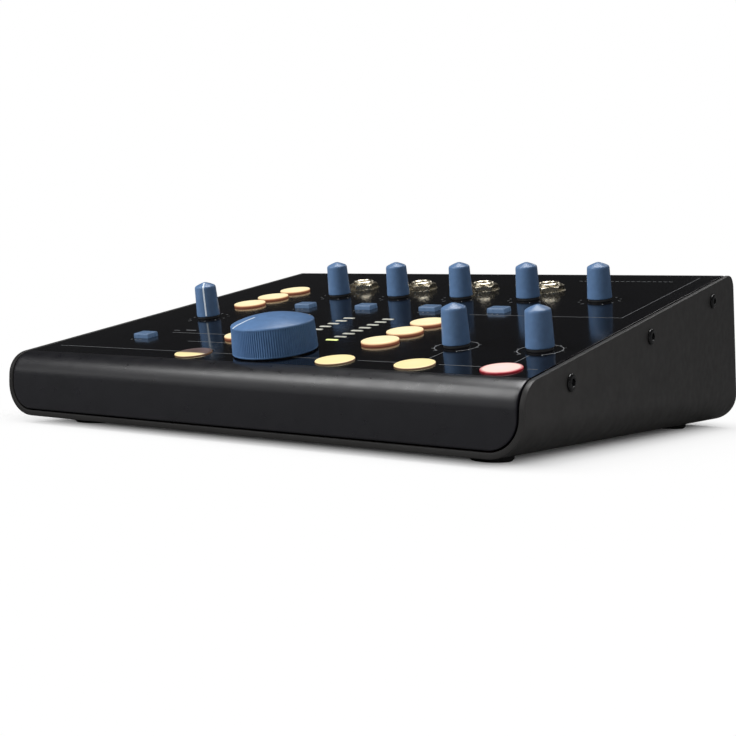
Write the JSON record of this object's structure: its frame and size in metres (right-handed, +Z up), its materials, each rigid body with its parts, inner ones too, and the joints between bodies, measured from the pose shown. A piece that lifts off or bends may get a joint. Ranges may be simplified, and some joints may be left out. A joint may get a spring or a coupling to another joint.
{
  "type": "studio monitor controller",
  "caption": "Desktop studio monitor controller: wedge case with sloping deck, level knobs, lit push buttons, rectangular switches, headphone jacks, a level meter and rear sockets.",
  "frame": {"origin": "on the surface that the feet stand on, below the middle of the whole controller with its rear sockets", "axes": "+X to the right along the front edge, +Y from the front to the rear, +Z up"},
  "size_m": [0.2184, 0.2, 0.0653],
  "materials": {
    "case_paint": "satin dark grey powder coat",
    "cover_paint": "satin black paint",
    "deck_gloss": "polished black sheet with fine light print",
    "rubber": "matt black rubber",
    "screw_black": "black oxide",
    "meter_lens": "translucent light bars",
    "jack_metal": "bright nickel",
    "black_plastic": "moulded black",
    "circuit_board": "green solder mask",
    "ribbon": "grey ribbon sheath",
    "knob_blue": "satin slate blue with a white pointer line",
    "switch_blue": "satin slate blue",
    "button_amber": "translucent cap lit warm white",
    "button_red": "translucent cap lit red"
  },
  "bodies": {
    "root": {"chassis_tray": "case_paint", "top_cover": "cover_paint", "deck_overlay": "deck_gloss", "rear_panel": "cover_paint", "foot_front_left": "rubber", "foot_front_right": "rubber", "foot_rear_left": "rubber", "foot_rear_right": "rubber", "cheek_screw_left_1": "screw_black", "cheek_screw_left_2": "screw_black", "cheek_screw_left_3": "screw_black", "cheek_screw_right_1": "screw_black", "cheek_screw_right_2": "screw_black", "cheek_screw_right_3": "screw_black", "level_meter_bars": "meter_lens", "phones_1_jack": "jack_metal", "phones_2_jack": "jack_metal", "phones_3_jack": "jack_metal", "phones_4_jack": "jack_metal", "rear_jack_pair_1": "black_plastic", "rear_jack_pair_2": "black_plastic", "rear_jack_pair_3": "black_plastic", "rear_jack_pair_4": "black_plastic", "rear_jack_pair_5": "black_plastic", "phono_sockets": "jack_metal", "power_inlet": "black_plastic", "control_board": "circuit_board", "io_board": "circuit_board", "ribbon_cable": "ribbon"},
    "main_level": {"main_level_knob": "knob_blue", "main_level_spindle": "jack_metal"},
    "aux_level": {"aux_level_knob": "knob_blue"},
    "talkback_level": {"talkback_level_knob": "knob_blue"},
    "dim_level": {"dim_level_knob": "knob_blue"},
    "phones_1": {"phones_1_knob": "knob_blue"},
    "phones_2": {"phones_2_knob": "knob_blue"},
    "phones_3": {"phones_3_knob": "knob_blue"},
    "phones_4": {"phones_4_knob": "knob_blue"},
    "cue_level": {"cue_level_knob": "knob_blue"},
    "mono_button": {"mono_button": "button_amber"},
    "dim_button": {"dim_button": "button_amber"},
    "talkback_button": {"talkback_button": "button_amber"},
    "mute_button": {"mute_button": "button_red"},
    "source_button_1": {"source_button_1": "button_amber"},
    "source_button_2": {"source_button_2": "button_amber"},
    "source_button_3": {"source_button_3": "button_amber"},
    "speaker_button_1": {"speaker_button_1": "button_amber"},
    "speaker_button_2": {"speaker_button_2": "button_amber"},
    "speaker_button_3": {"speaker_button_3": "button_amber"},
    "cue_button_1": {"cue_button_1": "button_amber"},
    "cue_button_2": {"cue_button_2": "button_amber"},
    "cue_button_3": {"cue_button_3": "button_amber"},
    "mode_switch": {"mode_switch_cap": "switch_blue"},
    "phones_1_switch": {"phones_1_switch_cap": "switch_blue"},
    "phones_2_switch": {"phones_2_switch_cap": "switch_blue"},
    "phones_3_switch": {"phones_3_switch_cap": "switch_blue"},
    "phones_4_switch": {"phones_4_switch_cap": "switch_blue"}
  },
  "joints": [
    {"name": "main_level_turn", "type": "hinge", "parent": "root", "child": "main_level", "pos_m": [0, -0.07657, 0.02999], "axis": [0, -0.2079, 0.9781], "range_deg": [-300, 0]},
    {"name": "aux_level_turn", "type": "hinge", "parent": "root", "child": "aux_level", "pos_m": [-0.0742, -0.02764, 0.04039], "axis": [0, -0.2079, 0.9781], "range_deg": [0, 300]},
    {"name": "talkback_level_turn", "type": "hinge", "parent": "root", "child": "talkback_level", "pos_m": [0.0612, -0.05858, 0.03381], "axis": [0, -0.2079, 0.9781], "range_deg": [-150, 150]},
    {"name": "dim_level_turn", "type": "hinge", "parent": "root", "child": "dim_level", "pos_m": [0.0918, -0.05858, 0.03381], "axis": [0, -0.2079, 0.9781], "range_deg": [-150, 150]},
    {"name": "phones_1_turn", "type": "hinge", "parent": "root", "child": "phones_1", "pos_m": [-0.0444, 0.02202, 0.05095], "axis": [0, -0.2079, 0.9781], "range_deg": [-150, 150]},
    {"name": "phones_2_turn", "type": "hinge", "parent": "root", "child": "phones_2", "pos_m": [-0.0142, 0.02202, 0.05095], "axis": [0, -0.2079, 0.9781], "range_deg": [-150, 150]},
    {"name": "phones_3_turn", "type": "hinge", "parent": "root", "child": "phones_3", "pos_m": [0.016, 0.02202, 0.05095], "axis": [0, -0.2079, 0.9781], "range_deg": [-150, 150]},
    {"name": "phones_4_turn", "type": "hinge", "parent": "root", "child": "phones_4", "pos_m": [0.0462, 0.02202, 0.05095], "axis": [0, -0.2079, 0.9781], "range_deg": [-150, 150]},
    {"name": "cue_level_turn", "type": "hinge", "parent": "root", "child": "cue_level", "pos_m": [0.0764, 0.02202, 0.05095], "axis": [0, -0.2079, 0.9781], "range_deg": [-150, 150]},
    {"name": "mono_button_press", "type": "slide", "parent": "root", "child": "mono_button", "axis": [0, -0.2079, 0.9781], "range_m": [-0.001, 0], "stiffness_N_per_m": 400, "springref_m": 0.001},
    {"name": "dim_button_press", "type": "slide", "parent": "root", "child": "dim_button", "axis": [0, -0.2079, 0.9781], "range_m": [-0.001, 0], "stiffness_N_per_m": 400, "springref_m": 0.001},
    {"name": "talkback_button_press", "type": "slide", "parent": "root", "child": "talkback_button", "axis": [0, -0.2079, 0.9781], "range_m": [-0.001, 0], "stiffness_N_per_m": 400, "springref_m": 0.001},
    {"name": "mute_button_press", "type": "slide", "parent": "root", "child": "mute_button", "axis": [0, -0.2079, 0.9781], "range_m": [-0.001, 0], "stiffness_N_per_m": 400, "springref_m": 0.001},
    {"name": "source_button_1_press", "type": "slide", "parent": "root", "child": "source_button_1", "axis": [0, -0.2079, 0.9781], "range_m": [-0.001, 0], "stiffness_N_per_m": 400, "springref_m": 0.001},
    {"name": "source_button_2_press", "type": "slide", "parent": "root", "child": "source_button_2", "axis": [0, -0.2079, 0.9781], "range_m": [-0.001, 0], "stiffness_N_per_m": 400, "springref_m": 0.001},
    {"name": "source_button_3_press", "type": "slide", "parent": "root", "child": "source_button_3", "axis": [0, -0.2079, 0.9781], "range_m": [-0.001, 0], "stiffness_N_per_m": 400, "springref_m": 0.001},
    {"name": "speaker_button_1_press", "type": "slide", "parent": "root", "child": "speaker_button_1", "axis": [0, -0.2079, 0.9781], "range_m": [-0.001, 0], "stiffness_N_per_m": 400, "springref_m": 0.001},
    {"name": "speaker_button_2_press", "type": "slide", "parent": "root", "child": "speaker_button_2", "axis": [0, -0.2079, 0.9781], "range_m": [-0.001, 0], "stiffness_N_per_m": 400, "springref_m": 0.001},
    {"name": "speaker_button_3_press", "type": "slide", "parent": "root", "child": "speaker_button_3", "axis": [0, -0.2079, 0.9781], "range_m": [-0.001, 0], "stiffness_N_per_m": 400, "springref_m": 0.001},
    {"name": "cue_button_1_press", "type": "slide", "parent": "root", "child": "cue_button_1", "axis": [0, -0.2079, 0.9781], "range_m": [-0.001, 0], "stiffness_N_per_m": 400, "springref_m": 0.001},
    {"name": "cue_button_2_press", "type": "slide", "parent": "root", "child": "cue_button_2", "axis": [0, -0.2079, 0.9781], "range_m": [-0.001, 0], "stiffness_N_per_m": 400, "springref_m": 0.001},
    {"name": "cue_button_3_press", "type": "slide", "parent": "root", "child": "cue_button_3", "axis": [0, -0.2079, 0.9781], "range_m": [-0.001, 0], "stiffness_N_per_m": 400, "springref_m": 0.001},
    {"name": "mode_switch_press", "type": "slide", "parent": "root", "child": "mode_switch", "axis": [0, -0.2079, 0.9781], "range_m": [-0.0015, 0], "stiffness_N_per_m": 400, "springref_m": 0.001},
    {"name": "phones_1_switch_press", "type": "slide", "parent": "root", "child": "phones_1_switch", "axis": [0, -0.2079, 0.9781], "range_m": [-0.0015, 0], "stiffness_N_per_m": 400, "springref_m": 0.001},
    {"name": "phones_2_switch_press", "type": "slide", "parent": "root", "child": "phones_2_switch", "axis": [0, -0.2079, 0.9781], "range_m": [-0.0015, 0], "stiffness_N_per_m": 400, "springref_m": 0.001},
    {"name": "phones_3_switch_press", "type": "slide", "parent": "root", "child": "phones_3_switch", "axis": [0, -0.2079, 0.9781], "range_m": [-0.0015, 0], "stiffness_N_per_m": 400, "springref_m": 0.001},
    {"name": "phones_4_switch_press", "type": "slide", "parent": "root", "child": "phones_4_switch", "axis": [0, -0.2079, 0.9781], "range_m": [-0.0015, 0], "stiffness_N_per_m": 400, "springref_m": 0.001}
  ]
}
